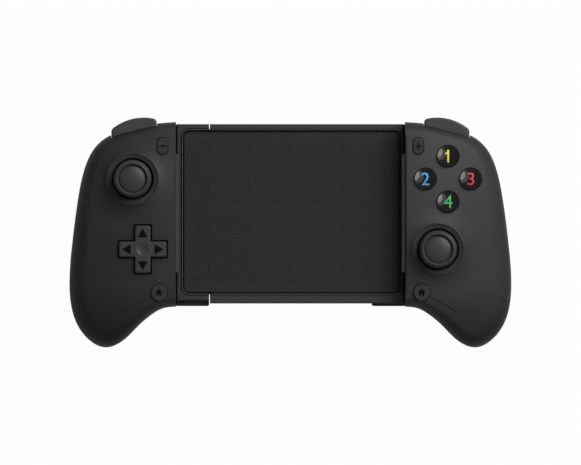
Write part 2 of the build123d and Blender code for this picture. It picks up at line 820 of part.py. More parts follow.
def small_button(x, y, face, flange):
    """Low push button with a flat top."""
    flange_top = shell_under_z - 2 * button_clearance
    cap = prism(face, flange_top - button_flange_thickness, small_button_top_z)
    cap = fillet(edges_at(cap, small_button_top_z), small_button_edge_radius)
    return Pos(x, y) * (cap + button_base(flange, flange_top, small_button_travel))


def menu_button():
    """Capsule button above the upper control."""
    margin = 2 * button_flange_margin
    face = capsule(menu_width, menu_length)
    return small_button(menu_x, menu_y, face, capsule(menu_width + margin, menu_length + margin))


def function_button():
    """Round button below the lower control."""
    flange_radius = function_radius + button_flange_margin
    width, height = 2 * flange_radius, function_flange_cut + flange_radius
    flange = Circle(flange_radius) & Pos(0, (flange_radius - function_flange_cut) / 2) * Rectangle(width, height)
    return small_button(function_x, function_y, Circle(function_radius), flange)


def status_light():
    """Light guide from the board to its tiny window in the front face."""
    step_z = shell_under_z - seam_clearance
    guide = post(light_x, light_y, light_stem_radius, board_top_z + seam_clearance, step_z)
    return guide + post(light_x, light_y, light_radius, step_z, grip_depth)


def circuit_board():
    """Board that follows the grip's outline, with room for the trigger and holes for the screws."""
    face = grip_ring(0, board_inset, 0, 3, 0)
    board = prism(face, board_low_z, board_top_z)
    far = controller_width
    board &= block(wall_x + wall + slide_clearance, far, board_low_y, far, 0, grip_depth)
    board -= block(board_notch_x, far, board_notch_y, far, 0, grip_depth)
    for x, y in grip_screw_places:
        board -= post(x, y, screw_radius + seam_clearance, 0, grip_depth)
    return board


def dome_switch(x, y):
    """Rubber dome under one plunger, closed at its foot by the sheet."""
    height = membrane_top_z - board_top_z - membrane_thickness
    low_z = board_top_z + membrane_thickness
    return Pos(x, y, low_z + height / 2) * Cone(membrane_dome_radius, membrane_tip_radius, height)


def button_membrane(name):
    """Rubber sheets on the board with a dome under each push button of a grip."""
    border = membrane_dome_radius + membrane_margin / 4
    top_z = board_top_z + membrane_thickness
    sheets = []
    for x, y in ((menu_x, menu_y), (function_x, function_y)):
        sheets.append(post(x, y, border, board_top_z, top_z) + dome_switch(x, y))
    if name == "left":
        middle_x, middle_y, reach = lower_control_x, lower_control_y, pad_plunger_reach
        places = [(middle_x + reach, middle_y), (middle_x, middle_y + reach)]
        places += [(middle_x - reach, middle_y), (middle_x, middle_y - reach)]
        opening = Rectangle(2 * (cradle_half + slide_clearance), 2 * (cradle_half + slide_clearance))
    else:
        middle_x, middle_y, reach = upper_control_x, upper_control_y, face_button_reach
        places = face_button_places()
        opening = Circle(reach - membrane_dome_radius - membrane_margin)
    sheet = prism(Pos(middle_x, middle_y) * (Circle(reach + border) - opening), board_top_z, top_z)
    for place in places:
        sheet += dome_switch(*place)
    sheets.append(sheet)
    return pieces(sheets)


def bumper():
    """Shoulder button, turning on a pin at its inner end."""
    body = prism(shoulder_outline(shoulder_back_y), bumper_low_z, bumper_high_z)
    body = fillet(edges_at(body, bumper_high_z), bumper_edge_radius)
    hole_radius = bumper_pin_radius + fit_clearance
    return body - post(bumper_pin_x, bumper_pin_y, hole_radius, 0, grip_depth)


def trigger():
    """Trigger with a hooked outer face, hanging from its axle."""
    beyond_y = shoulder_crest_y + trigger_lip
    hub_y, hub_z, hub = trigger_axle_y, trigger_axle_z, trigger_hub_radius
    middle_z = (trigger_low_z + trigger_top_z) / 2
    top_back = (shoulder_back_y, trigger_top_z)
    top_front = (shoulder_crest_y, trigger_top_z)
    hook = (shoulder_crest_y - trigger_hook_depth, middle_z)
    low_front = (shoulder_crest_y, trigger_low_z)
    low_back = (shoulder_crest_y - trigger_lip, trigger_low_z)
    hollow = ((shoulder_crest_y - trigger_lip + hub_y) / 2 + trigger_hook_depth, hub_z - hub)
    foot = (hub_y, hub_z - hub)
    crown = (hub_y, hub_z + hub)
    outline = [
        Line(crown, top_back),
        Line(top_back, top_front),
        ThreePointArc(top_front, hook, low_front),
        Line(low_front, low_back),
        Line(low_back, hollow),
        Line(hollow, foot),
        ThreePointArc(foot, (hub_y - hub, hub_z), crown),
    ]
    side = Plane.YZ * make_face(outline)
    lever = Pos(shoulder_inner_x) * extrude(side, shoulder_outer_x - shoulder_inner_x)
    lever &= prism(shoulder_outline(hub_y - 2 * hub), 0, grip_depth)
    return lever - bar(shoulder_inner_x, hub_y, hub_z, trigger_axle_radius + fit_clearance, beyond_y, "X")


def trigger_axle():
    """Pin through the trigger and its two bearings."""
    low_x, high_x = bearing_places()
    high_x += bearing_thickness
    return bar((low_x + high_x) / 2, trigger_axle_y, trigger_axle_z, trigger_axle_radius, high_x - low_x, "X")


def clamp_pad():
    """Rubber strip on the grip's inner wall."""
    low_x = wall_x - clamp_pad_thickness
    pad = block(low_x, wall_x, clamp_pad_low_y, clamp_pad_high_y, clamp_pad_low_z, clamp_pad_high_z)
    return chamfer(pad.faces().sort_by(Axis.X)[0].edges(), clamp_pad_thickness / 3)


def battery():
    """Pouch cell on the floor of the left grip."""
    low_z = wall + slide_clearance
    half_width, half_length = battery_width / 2, battery_length / 2
    low_y, high_y = battery_y - half_length, battery_y + half_length
    cell = block(battery_x - half_width, battery_x + half_width, low_y, high_y, low_z, low_z + battery_height)
    return fillet(cell.edges().filter_by(Axis.Y), battery_edge_radius)


def charging_socket():
    """Metal socket under the right board, open to the grip's lower edge, with its tongue."""
    low_y = bracket_low_y + socket_setback
    high_y = low_y + socket_depth
    shell = socket_tunnel(0, low_y, high_y)
    shell -= socket_tunnel(-socket_wall, low_y - overrun, high_y - socket_wall)
    middle_z = board_low_z - socket_height / 2
    half, thick = socket_tongue_width / 2, socket_tongue / 2
    tongue_y = low_y + socket_tongue
    return shell + block(socket_x - half, socket_x + half, tongue_y, high_y, middle_z - thick, middle_z + thick)


# Building and writing the pieces


def write(name, shape):
    """Write one named piece."""
    export_step(shape, f"parts/{name}.step")


def build_grip(name):
    """All pieces of one grip, drawn to the right of the middle and mirrored for the left."""
    front, rear = grip_shells(name)
    screws = pieces([screw(x, y, screw_seat_z, screw_tip_z) for x, y in grip_screw_places])
    stick_place = (upper_control_x, upper_control_y)
    if name == "right":
        stick_place = (lower_control_x, lower_control_y)
    made = {
        f"{name}_front_shell": front,
        f"{name}_rear_shell": rear,
        f"{name}_shell_screws": screws,
        f"{name}_clamp_pad": clamp_pad(),
        f"{name}_circuit_board": circuit_board(),
        f"{name}_button_membrane": button_membrane(name),
        f"{name}_stick_ring": stick_ring(*stick_place),
        f"{name}_stick_cradle": cradle(*stick_place),
        f"{name}_stick_gimbal": gimbal_ring(*stick_place),
        f"{name}_stick_rocker": stick_rocker(*stick_place),
        f"{name}_stick_cap": stick_cap(*stick_place),
        f"{name}_status_light": status_light(),
        f"{name}_bumper": bumper(),
        f"{name}_trigger": trigger(),
        f"{name}_trigger_axle": trigger_axle(),
    }
    if name == "left":
        made["minus_button"] = menu_button()
        made["star_button"] = function_button()
        made["pad_cradle"] = cradle(lower_control_x, lower_control_y)
        made["pad_gimbal"] = gimbal_ring(lower_control_x, lower_control_y)
        made["direction_pad"] = direction_pad()
        made["battery"] = battery()
    else:
        made["plus_button"] = menu_button()
        made["home_button"] = function_button()
        made["charging_socket"] = charging_socket()
        for label, place in zip(("top", "left", "right", "bottom"), face_button_places()):
            made[f"face_button_{label}"] = face_button(*place)
    for piece, shape in made.items():
        write(piece, mirror(shape, Plane.YZ) if name == "left" else shape)
    write(f"{name}_slider", slider(name))


def build_bridge():
    """The pieces between the grips."""
    write("bridge_plate", bridge_plate())
    write("bridge_back_cover", bridge_back_cover())
    write("mat_plate", prism(mat_outline(0), tray_floor_z, mat_base_z))
    write("phone_mat", phone_mat())
    write("pinion", pinion())
    write("clock_spring", clock_spring())
    places = [(sign * x, tray_middle_y) for sign in (-1, 1) for x in bridge_screw_x]
    tip_z = tray_floor_z - screw_radius
    write("bridge_screws", pieces([screw(x, y, bridge_seat_z, tip_z) for x, y in places]))


os.makedirs("parts", exist_ok=True)
build_bridge()
for side in ("left", "right"):
    build_grip(side)
print(f"clamp opens from {clamp_opening:.0f} to {clamp_opening + 2 * slide_travel:.0f} mm")
print(f"pinion turns {pinion_angle * 180 / pi:.1f} degrees over the full travel")
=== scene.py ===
# %% [markdown]
# # A telescopic game controller that clamps a phone
#
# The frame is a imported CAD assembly: two grips that slide apart on a tray, each with its sticks,
# pad, buttons and triggers. This lesson gives every CAD piece its finish, and models the pieces
# whose detail the CAD leaves out: the glossy button domes with their numbers, the thumb caps and
# the rings round them, the small symbols, the raised pattern of the mat and the cross-headed
# screws. Lengths are written in millimetres and multiplied by `MM`.

# %% Load the frame
import json
import math

import bpy
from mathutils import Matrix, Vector

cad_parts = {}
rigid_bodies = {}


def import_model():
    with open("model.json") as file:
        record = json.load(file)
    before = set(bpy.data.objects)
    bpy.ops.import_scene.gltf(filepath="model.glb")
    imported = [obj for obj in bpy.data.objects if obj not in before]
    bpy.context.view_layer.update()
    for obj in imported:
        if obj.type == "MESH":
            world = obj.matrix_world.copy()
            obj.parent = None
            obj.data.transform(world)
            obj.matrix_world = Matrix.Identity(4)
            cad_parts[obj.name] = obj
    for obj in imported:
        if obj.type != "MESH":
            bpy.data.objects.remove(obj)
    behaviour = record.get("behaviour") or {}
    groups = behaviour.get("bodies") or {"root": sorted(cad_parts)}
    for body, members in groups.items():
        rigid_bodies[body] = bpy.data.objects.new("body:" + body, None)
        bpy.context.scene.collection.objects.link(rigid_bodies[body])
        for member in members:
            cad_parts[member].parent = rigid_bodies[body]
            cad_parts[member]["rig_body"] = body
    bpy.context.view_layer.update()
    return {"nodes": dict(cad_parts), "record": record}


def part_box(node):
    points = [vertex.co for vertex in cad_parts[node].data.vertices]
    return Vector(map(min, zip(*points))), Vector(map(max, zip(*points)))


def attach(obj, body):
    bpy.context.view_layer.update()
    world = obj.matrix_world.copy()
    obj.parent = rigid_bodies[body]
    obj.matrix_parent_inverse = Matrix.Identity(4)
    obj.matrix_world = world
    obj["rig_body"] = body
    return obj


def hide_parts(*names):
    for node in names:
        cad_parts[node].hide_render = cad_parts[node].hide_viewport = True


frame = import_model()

MM = 0.001
nodes = frame["nodes"]

# %% [markdown]
# ## Picking things by rule
#
# By hand one clicks the faces to work on. In code a rule picks them, by where they lie or which
# way they face. An operator acts on all that is selected, so each helper deselects first.

# %% Selecting objects, faces and edges


def take(piece):
    """Make one object the only selected one."""
    if bpy.context.mode != "OBJECT":
        bpy.ops.object.mode_set(mode="OBJECT")
    bpy.ops.object.select_all(action="DESELECT")
    piece.select_set(True)
    bpy.context.view_layer.objects.active = piece


def edit(piece, rule=None):
    """Open one object in edit mode with the faces that the rule picks, or all of them."""
    take(piece)
    bpy.ops.object.mode_set(mode="EDIT")
    bpy.ops.mesh.select_mode(type="FACE")
    bpy.ops.mesh.select_all(action="SELECT" if rule is None else "DESELECT")
    if rule is None:
        return
    bpy.ops.object.mode_set(mode="OBJECT")
    for face in piece.data.polygons:
        face.select = rule(face)
    bpy.ops.object.mode_set(mode="EDIT")


def edit_edges(piece, rule):
    """Open one object in edit mode with only the edges selected that the rule picks."""
    edit(piece, lambda face: False)
    bpy.ops.mesh.select_mode(type="EDGE")
    bpy.ops.object.mode_set(mode="OBJECT")
    for edge in piece.data.edges:
        edge.select = rule(edge)
    bpy.ops.object.mode_set(mode="EDIT")


print("selecting: objects, faces, edges")

# %% [markdown]
# ## Copying, joining and settling
#
# What repeats is modelled once and copied, each copy with its own mesh. A finished piece has its
# place in its mesh and its object at the origin, as a CAD node has, so that a pattern on object
# coordinates stays where it is. Doubles are merged before the faces are turned outward.

# %% Handling whole pieces


def settle(piece, name, smooth_angle=30):
    """Merge doubles, turn faces outward, shade by angle and leave the place in the mesh."""
    edit(piece)
    bpy.ops.mesh.remove_doubles(threshold=1e-7)
    bpy.ops.mesh.normals_make_consistent(inside=False)
    take(piece)
    bpy.ops.object.transform_apply(location=True, rotation=True, scale=True)
    bpy.ops.object.shade_smooth_by_angle(angle=math.radians(smooth_angle))
    piece.name = name
    piece.data.name = name
    return piece


def apply_modifier(piece, kind, **settings):
    """Add one modifier, set it and apply it."""
    take(piece)
    modifier = piece.modifiers.new(kind.title(), kind)
    for key, value in settings.items():
        setattr(modifier, key, value)
    bpy.ops.object.modifier_apply(modifier=modifier.name)


def join(pieces):
    """Join several meshes into the first."""
    take(pieces[0])
    for piece in pieces:
        piece.select_set(True)
    bpy.ops.object.join()
    return pieces[0]


def copy_at(piece, shift):
    """A copy with its own mesh, moved by a shift in millimetres."""
    take(piece)
    bpy.ops.object.duplicate(linked=False)
    copied = bpy.context.object
    bpy.ops.transform.translate(value=Vector(shift) * MM)
    bpy.ops.object.transform_apply(location=True, rotation=False, scale=False)
    return copied


def remove(piece):
    """Delete a helper object."""
    take(piece)
    bpy.ops.object.delete()


print("handling: settle, apply a modifier, join, copy, remove")

# %% [markdown]
# ## Three ways to start a form
#
# Round parts of such a controller are moulded in turned tools, so a lathe form suits them: a disc
# is raised step by step and scaled at each. Flat parts start as a box, and small symbols as an
# upright prism. Each is only a start, and is shaped further below.

# %% Lathe form, box and prism


def turn_profile(place, profile, segments=96):
    """A turned form: a disc raised through (radius, height) steps, as on a lathe."""
    x, y = place
    radius, height = profile[0]
    bpy.ops.object.select_all(action="DESELECT")
    bpy.ops.mesh.primitive_circle_add(
        vertices=segments,
        radius=radius * MM,
        fill_type="NGON",
        location=(x * MM, y * MM, height * MM),
    )
    piece = bpy.context.object
    edit(piece)
    for next_radius, next_height in profile[1:]:
        step = (0, 0, (next_height - height) * MM)
        bpy.ops.mesh.extrude_region_move(TRANSFORM_OT_translate={"value": step})
        scale = next_radius / radius
        bpy.ops.transform.resize(value=(scale, scale, 1), center_override=(x * MM, y * MM, 0))
        radius, height = next_radius, next_height
    bpy.ops.object.mode_set(mode="OBJECT")
    return piece


def slab(low, high):
    """A box between two corners in millimetres."""
    bpy.ops.object.select_all(action="DESELECT")
    middle = [(a + b) / 2 * MM for a, b in zip(low, high)]
    bpy.ops.mesh.primitive_cube_add(size=1, location=middle)
    piece = bpy.context.object
    piece.scale = [(b - a) * MM for a, b in zip(low, high)]
    bpy.ops.object.transform_apply(location=True, rotation=True, scale=True)
    return piece


def flat_prism(place, vertices, radius, low_z, high_z, turn):
    """An upright prism over a regular outline, turned about its own axis."""
    x, y = place
    bpy.ops.object.select_all(action="DESELECT")
    bpy.ops.mesh.primitive_cylinder_add(
        vertices=vertices,
        radius=radius * MM,
        depth=(high_z - low_z) * MM,
        location=(x * MM, y * MM, (low_z + high_z) / 2 * MM),
        rotation=(0, 0, math.radians(turn)),
    )
    piece = bpy.context.object
    bpy.ops.object.transform_apply(location=True, rotation=True, scale=True)
    return piece


print("starts: lathe form, box, prism")

# %% [markdown]
# ## Shader maths as expressions
#
# A finish is a node tree. Wiring dozens of Math nodes by hand hides what they compute, so `Wire`
# wraps one socket, and sums and products of wires add the nodes themselves.

# %% One output socket


class Wire:
    """One output socket of a finish."""

    def __init__(self, finish, socket):
        self.finish = finish
        self.socket = socket

    def combine(self, operation, first, second, **settings):
        settings["operation"] = operation
        return self.finish.node("ShaderNodeMath", settings, {0: first, 1: second})

    def __add__(self, other):
        return self.combine("ADD", self, other)

    def __radd__(self, other):
        return self.combine("ADD", other, self)

    def __sub__(self, other):
        return self.combine("SUBTRACT", self, other)

    def __rsub__(self, other):
        return self.combine("SUBTRACT", other, self)

    def __mul__(self, other):
        return self.combine("MULTIPLY", self, other)

    def __rmul__(self, other):
        return self.combine("MULTIPLY", other, self)

    def above(self, other):
        """The larger of the two."""
        return self.combine("MAXIMUM", self, other)

    def size(self):
        """The value without its sign."""
        return self.combine("ABSOLUTE", self, 0.0)

    def limited(self):
        """The value kept between zero and one."""
        return self.combine("MULTIPLY", self, 1.0, use_clamp=True)

    def part(self, axis):
        """One axis of a vector wire."""
        split = self.finish.node("ShaderNodeSeparateXYZ", {}, {0: self})
        return Wire(self.finish, split.socket.node.outputs[axis])


print("wires: add, subtract, multiply, above, size, limited, part")

# %% [markdown]
# ## The material bench
#
# `Finish` is one material round its Principled shader. It places patterns in millimetres on the
# object, varies the colour, and bumps the surface over rounded edges. Two methods serve the black
# plastics. One paints shade: it lets the colour fall where the surface turns away from the front.
# The other, `eased_normal`, hides a slight crease where the flat front of the CAD shells turns
# into their rounded edge. Both read the object alone, not the camera, so they look the same from
# every side.

# %% One material


class Finish:
    """One material, built node by node around its Principled shader."""

    def __init__(self, name, colour, roughness, **uniform):
        self.material = bpy.data.materials.new(name)
        self.material.use_nodes = True
        self.tree = self.material.node_tree
        self.shader = self.tree.nodes["Principled BSDF"]
        self.shader.inputs["Base Color"].default_value = (*colour, 1)
        self.shader.inputs["Roughness"].default_value = roughness
        for key, value in uniform.items():
            socket_name = key.replace("_", " ").title().replace("Ior", "IOR")
            self.shader.inputs[socket_name].default_value = value
        self.colour = colour

    def node(self, kind, settings, inputs):
        """Any node, from its type, its settings and the values or wires of its sockets."""
        made = self.tree.nodes.new(kind)
        for key, value in settings.items():
            setattr(made, key, value)
        for key, value in inputs.items():
            self.feed(made.inputs[key], value)
        return Wire(self, made.outputs[0])

    def output(self, kind, name):
        """A named output of a node that has no inputs."""
        return Wire(self, self.node(kind, {}, {}).socket.node.outputs[name])

    def vector_maths(self, operation, inputs):
        return self.node("ShaderNodeVectorMath", {"operation": operation}, inputs)

    def feed(self, socket, value):
        """Link a wire to a socket, or set the socket's own value."""
        if isinstance(value, Wire):
            self.tree.links.new(value.socket, socket)
        else:
            socket.default_value = value

    def place(self):
        """Where a point lies on the object, in millimetres."""
        where = self.output("ShaderNodeTexCoord", "Object")
        return self.vector_maths("MULTIPLY", {0: where, 1: (1 / MM,) * 3})

    def noise(self, size, detail=3):
        """Soft noise with features of about one size in millimetres."""
        inputs = {"Vector": self.place(), "Scale": 1 / size, "Detail": detail}
        return self.node("ShaderNodeTexNoise", {}, inputs)

    def blend_colours(self, share, first, second):
        """Feed the base colour with a blend of two colours."""
        mix = self.node("ShaderNodeMix", {"data_type": "RGBA"}, {0: share, 6: first, 7: second})
        self.tree.links.new(mix.socket.node.outputs[2], self.shader.inputs["Base Color"])

    def tint(self, share, amount):
        """Let the base colour vary with a wire, by an amount either way."""
        low = tuple(c * (1 - amount) for c in self.colour) + (1,)
        high = tuple(c * (1 + amount) for c in self.colour) + (1,)
        self.blend_colours(share, low, high)

    def true_normal(self):
        """The normal of the mesh."""
        return self.output("ShaderNodeNewGeometry", "Normal")

    def along_depth(self, direction=1.0):
        """The object's own front direction, or its back where the wire is negative."""
        upright = self.node("ShaderNodeCombineXYZ", {}, {2: direction})
        turn = {"vector_type": "NORMAL", "convert_from": "OBJECT", "convert_to": "WORLD"}
        return self.node("ShaderNodeVectorTransform", turn, {0: upright})

    def dot(self, first, second):
        product = self.vector_maths("DOT_PRODUCT", {0: first, 1: second})
        return Wire(self, product.socket.node.outputs["Value"])

    def eased_normal(self, middle_z, start, rise, steepest, gain):
        """The normal, turned straight out where a gentle slope lies far from the middle."""
        from_middle = self.place().part(2) - middle_z
        side = self.node("ShaderNodeMath", {"operation": "SIGN"}, {0: from_middle})
        normal = self.true_normal()
        straight = self.along_depth(side)
        far = ((from_middle.size() - start) * (1 / rise)).limited()
        gentle = ((self.dot(normal, straight) - steepest) * gain).limited()
        inputs = {0: far * gentle, 4: normal, 5: straight}
        mix = self.node("ShaderNodeMix", {"data_type": "VECTOR"}, inputs)
        mixed = Wire(self, mix.socket.node.outputs[1])
        return self.vector_maths("NORMALIZE", {0: mixed})

    def paint_side_shade(self, gain, share, normal=None):
        """Painted shade: the base colour falls to a share of itself from the front to a side."""
        lean = self.dot(normal or self.true_normal(), self.along_depth()).size()
        turned = ((1.0 - lean) * gain).limited()
        full = Wire(self, self.shader.inputs["Base Color"].links[0].from_socket)
        dark = tuple(c * share for c in self.colour) + (1,)
        self.blend_colours(turned, full, dark)

    def relief(self, height, depth, edge, normal=None):
        """Bump by a height wire, over a given normal or edges rounded to one radius."""
        inputs = {"Height": height, "Distance": depth * MM, "Strength": 1.0}
        if normal:
            inputs["Normal"] = normal
        if edge:
            bevel = self.node("ShaderNodeBevel", {"samples": 6}, {"Radius": edge * MM})
            inputs["Normal"] = bevel
        self.feed(self.shader.inputs["Normal"], self.node("ShaderNodeBump", {}, inputs))


def paint(piece, finish):
    """Give a piece or a CAD node one finish in all its material slots."""
    if not piece.material_slots:
        piece.data.materials.append(finish.material)
    for place in piece.material_slots:
        place.material = finish.material


print("material bench ready")

# %% [markdown]
# ## The soft-touch grips
#
# The shells are injection moulded and sprayed with a matt soft-touch coat. The real ones are
# gently crowned: they fall away to the outside and to the lobes, and swell round each stick. That
# could be sculpted into the CAD mesh, but the nodes stay as they are, so the crown is the height
# of a Bump node in millimetres. The swells are kept to the front by a mask. Where the surface
# turns to the sides, the colour darkens as painted shade.

# %% Coat of the grips
shell_middle_z = 15.25
flat_start = 14.4
flat_blend = 0.25
gentle_slope = 0.72
slope_gain = 16.0
# How fast and how far the painted shade at the sides darkens the colour.
side_shade_gain = 1.85
side_shade_share = 0.45
crown_start_x = 50.0
crown_across = 0.0062
crown_middle_y = 12.0
crown_along = 0.0036
crown_ease = 0.0015
lobe_start_y = -26.0
lobe_fall = 0.015
front_blend = 4.0
swells = ((21.0, 3.0), (15.5, 3.5))
stick_places = ((-72.4, 24.5), (67.8, -7.8))
coat_grain = 0.16
coat_grain_height = 0.006


def black(grey):
    """A black with a trace of blue."""
    return (grey, grey, grey + 0.0005)


def crown_height(finish):
    """How far the crowned front and its swells stand from the flat one, in millimetres."""
    place = finish.place()
    x, y = place.part(0), place.part(1)
    outward = (x.size() - crown_start_x).above(0.0)
    upward = y - crown_middle_y
    downward = (crown_middle_y - y).above(0.0)
    tipward = (lobe_start_y - y).above(0.0)
    height = outward * outward * -crown_across + upward * upward * -crown_along
    height = height + downward * downward * crown_ease + tipward * tipward * -lobe_fall
    front = ((place.part(2) - shell_middle_z) * (1 / front_blend)).limited()
    for stick_x, stick_y in stick_places:
        aside, along = x - stick_x, y - stick_y
        from_stick = aside * aside + along * along
        for radius, swell_height in swells:
            closeness = (1.0 - from_stick * radius**-2).above(0.0)
            height = height + closeness * closeness * front * swell_height
    return height


def crowned_shell():
    """Soft-touch coat with fine grain on a crowned front that swells round each stick."""
    roughness = 0.55
    finish = Finish("soft_touch_black", black(0.034), roughness, specular_ior_level=0.2)
    cloud = finish.noise(14.0, 2)
    finish.tint(cloud, 0.06)
    normal = finish.eased_normal(
        shell_middle_z, flat_start, flat_blend, gentle_slope, slope_gain
    )
    # Painted shade: the colour falls where the coat turns to the sides.
    finish.paint_side_shade(side_shade_gain, side_shade_share, normal)
    finish.feed(finish.shader.inputs["Roughness"], cloud * 0.06 + (roughness - 0.03))
    grain = finish.noise(coat_grain, 2) * coat_grain_height
    finish.relief(crown_height(finish) + grain, 1.0, 0, normal)
    return finish


shell_finish = crowned_shell()
print("nodes in the coat:", len(shell_finish.tree.nodes))

# %% [markdown]
# ## Moulded plastics and rubbers
#
# All the other black parts are moulded too. A mould is spark eroded, so the plastic leaves it with
# a fine grain, and each part has its own gloss. The grain is noise at its real size in a Bump
# node, and a Bevel node rounds the edges that the CAD leaves sharp. All of it looks black, so
# small differences of tone and gloss are what tells the parts apart.

# %% Black plastics and rubbers


def moulded(name, colour, roughness, grain, depth, edge, vary=0.10, **uniform):
    """A moulded finish: fine grain, soft variation of tone and gloss, and rounded edges."""
    finish = Finish(name, colour, roughness, **uniform)
    cloud = finish.noise(9.0, 2)
    finish.tint(cloud, vary)
    finish.feed(finish.shader.inputs["Roughness"], cloud * 0.08 + (roughness - 0.04))
    finish.relief(finish.noise(grain, 4), depth, edge)
    return finish


dim = {"specular_ior_level": 0.2}
satin = {"specular_ior_level": 0.32}
tray_finish = moulded("tray_black", black(0.038), 0.5, 0.25, 0.012, 0.35, **dim)
shoulder_finish = moulded("shoulder_black", black(0.046), 0.42, 0.20, 0.006, 0.5, **satin)
# Painted shade: the colour of the tray and shoulders falls towards their sides too.
for finish in (tray_finish, shoulder_finish):
    finish.paint_side_shade(side_shade_gain, side_shade_share)
pad_finish = moulded("pad_black", black(0.038), 0.4, 0.18, 0.006, 0.35, **satin)
ring_finish = moulded("ring_black", black(0.033), 0.4, 0.18, 0.005, 0.12, **satin)
small_button_finish = moulded(
    "small_button_black", black(0.032), 0.5, 0.18, 0.005, 0.3, **dim
)
cap_finish = moulded("thumb_rubber", black(0.039), 0.42, 0.16, 0.006, 0.1, **satin)
# Lighter than the other rubber: painted light on the clamp pads' tops.
clamp_painted_light_finish = moulded("clamp_rubber_painted_light", black(0.050), 0.55, 0.22, 0.010, 0.2, **dim)
rubber_finish = moulded("mat_rubber", black(0.020), 0.62, 0.22, 0.012, 0.25, **dim)
gloss_finish = moulded("button_gloss", (0.006,) * 3, 0.12, 2.0, 0.002, 0.1)
blacks = ("black", "rubber", "gloss")
print("made:", [m.name for m in bpy.data.materials if m.name.endswith(blacks)])

# %% [markdown]
# ## Metals, board, silicone and the rest inside
#
# These show through the gaps and when the model is taken apart. Steel is brushed: noise stretched
# along one axis. The board has a green mask over copper runs, which a brick pattern suggests, and
# the silicone sheet under the buttons is pale and soft.

# %% Inner finishes


def brushed(name, colour, roughness, stretch):
    """Metal with fine lines along one axis."""
    finish = Finish(name, colour, roughness, metallic=1.0)
    stretched = finish.vector_maths("MULTIPLY", {0: finish.place(), 1: stretch})
    inputs = {"Vector": stretched, "Scale": 1.0, "Detail": 3}
    lines = finish.node("ShaderNodeTexNoise", {}, inputs)
    finish.tint(lines, 0.12)
    finish.feed(finish.shader.inputs["Roughness"], lines * 0.2 + (roughness - 0.1))
    finish.relief(lines, 0.004, 0.15)
    return finish


def green_board():
    """Green solder mask over copper runs."""
    finish = Finish("green_board", (0.012, 0.11, 0.045), 0.35)
    inputs = {"Vector": finish.place(), "Scale": 0.35, "Mortar Size": 0.03}
    inputs.update({"Color1": (0.3, 0.3, 0.3, 1), "Color2": (0.5, 0.5, 0.5, 1)})
    inputs["Mortar"] = (1, 1, 1, 1)
    runs = finish.node("ShaderNodeTexBrick", {}, inputs)
    finish.tint(runs, 0.45)
    finish.relief(runs, 0.03, 0.1)
    return finish


steel_finish = brushed("bright_steel", (0.55, 0.55, 0.56), 0.32, (1.0, 14.0, 14.0))
sheet_finish = brushed("brushed_aluminium", (0.62, 0.62, 0.63), 0.36, (0.6, 16.0, 16.0))
board_finish = green_board()
silicone_finish = moulded("grey_silicone", (0.42, 0.42, 0.43), 0.55, 0.3, 0.01, 0.3)
acetal_finish = moulded("white_acetal", (0.68, 0.68, 0.66), 0.38, 0.4, 0.008, 0.2)
pouch_finish = moulded(
    "silver_pouch", (0.55, 0.56, 0.58), 0.3, 1.4, 0.05, 0.4, metallic=0.6
)
guide_finish = moulded(
    "smoked_guide", (0.07, 0.07, 0.075), 0.25, 0.5, 0.004, 0.1, specular_ior_level=0.5
)
print("metals:", steel_finish.material.name, sheet_finish.material.name)

# %% [markdown]
# ## Who wears what
#
# Every CAD node has a material slot in the record. The finish follows that slot, so that a node
# is never missed. Only the clamp pads differ: their rubber is lighter than the other, which is
# painted light on their tops.

# %% Finish the CAD nodes
slot_finishes = {
    "steel": steel_finish,
    "soft_touch_shell": shell_finish,
    "tray_plastic": tray_finish,
    "grip_rubber": rubber_finish,
    "mat_sheet": sheet_finish,
    "stick_rubber": cap_finish,
    "ring_plastic": ring_finish,
    "face_button_gloss": gloss_finish,
    "pad_plastic": pad_finish,
    "small_button_plastic": small_button_finish,
    "shoulder_plastic": shoulder_finish,
    "board": board_finish,
    "membrane_rubber": silicone_finish,
    "battery_wrap": pouch_finish,
    "light_guide": guide_finish,
    "moving_plastic": acetal_finish,
}
node_slots = {part["node"]: part["material_slot"] for part in frame["record"]["subparts"]}
for name, node in nodes.items():
    paint(node, clamp_painted_light_finish if name.endswith("clamp_pad") else slot_finishes[node_slots[name]])
print("nodes finished:", len(nodes))

# %% [markdown]
# ## Seating a new piece
#
# A new piece takes its place from the CAD node that it belongs to, and rides on that node's body,
# so that it moves with every joint. Where it takes over from the node, the node is replaced.

# %% Places and riding


def middle_of(node):
    """Middle of a CAD node across and up, and its lowest and highest height, in millimetres."""
    low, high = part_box(node)
    across, up = (low.x + high.x) / 2 / MM, (low.y + high.y) / 2 / MM
    return (across, up), low.z / MM, high.z / MM


def hand_over(piece, name, finish, node, stands_for=True, smooth_angle=30):
    """Settle a new piece, finish it and let it ride with the node's body."""
    settle(piece, name, smooth_angle)
    paint(piece, finish)
    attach(piece, nodes[node]["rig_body"])
    if stands_for:
        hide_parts(node)
    print(name, "faces:", len(piece.data.polygons))
    return piece


# %% [markdown]
# ## Face buttons
#
# Each is a glossy dome of 10 mm on a flange that keeps it in the shell, with a plunger below. A
# subdivided cap could be pulled into a dome, but a lathe form in fine steps keeps its reflection
# clean. It is turned once, on a true arc, and copied to the four places.

